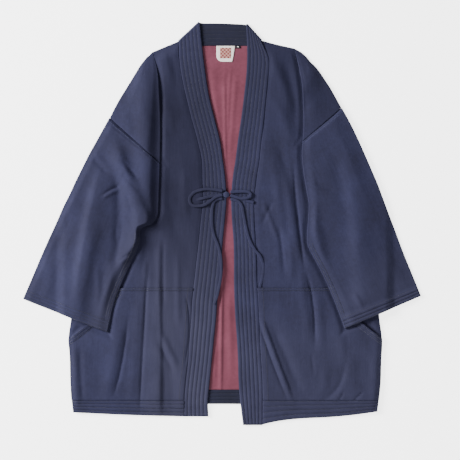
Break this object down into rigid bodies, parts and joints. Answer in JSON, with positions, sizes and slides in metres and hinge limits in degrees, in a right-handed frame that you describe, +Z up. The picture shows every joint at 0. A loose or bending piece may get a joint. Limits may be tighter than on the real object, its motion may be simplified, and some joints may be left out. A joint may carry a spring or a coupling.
{
  "type": "happi coat",
  "caption": "Navy cotton happi coat with a rose lining, laid flat and front up, with its collar band, patch pockets and cloth ties in a bow.",
  "frame": {"origin": "middle of the coat's outline on the surface that it lies on, under the back panel", "axes": "+X to the right as the coat is looked at from the front, +Y up to the neck, +Z up from the surface"},
  "size_m": [0.795, 0.8036, 0.0124],
  "materials": {
    "navy_cotton": "woven, soft sheen",
    "rose_lining": "plain woven, matte",
    "label_white": "woven satin",
    "label_black": "woven satin"
  },
  "bodies": {
    "root": {"back": "navy_cotton", "collar": "navy_cotton", "front_left": "navy_cotton", "front_right": "navy_cotton", "hem_back": "navy_cotton", "hem_front_left": "navy_cotton", "hem_front_right": "navy_cotton", "lining_back": "rose_lining", "neck_label": "label_white", "pocket_left": "navy_cotton", "pocket_right": "navy_cotton", "size_label": "label_black", "sleeve_left": "navy_cotton", "sleeve_right": "navy_cotton", "tie_knot": "navy_cotton", "tie_loop_left": "navy_cotton", "tie_loop_right": "navy_cotton", "tie_root_left": "navy_cotton", "tie_root_right": "navy_cotton", "tie_tail_left": "navy_cotton", "tie_tail_right": "navy_cotton"}
  },
  "joints": []
}
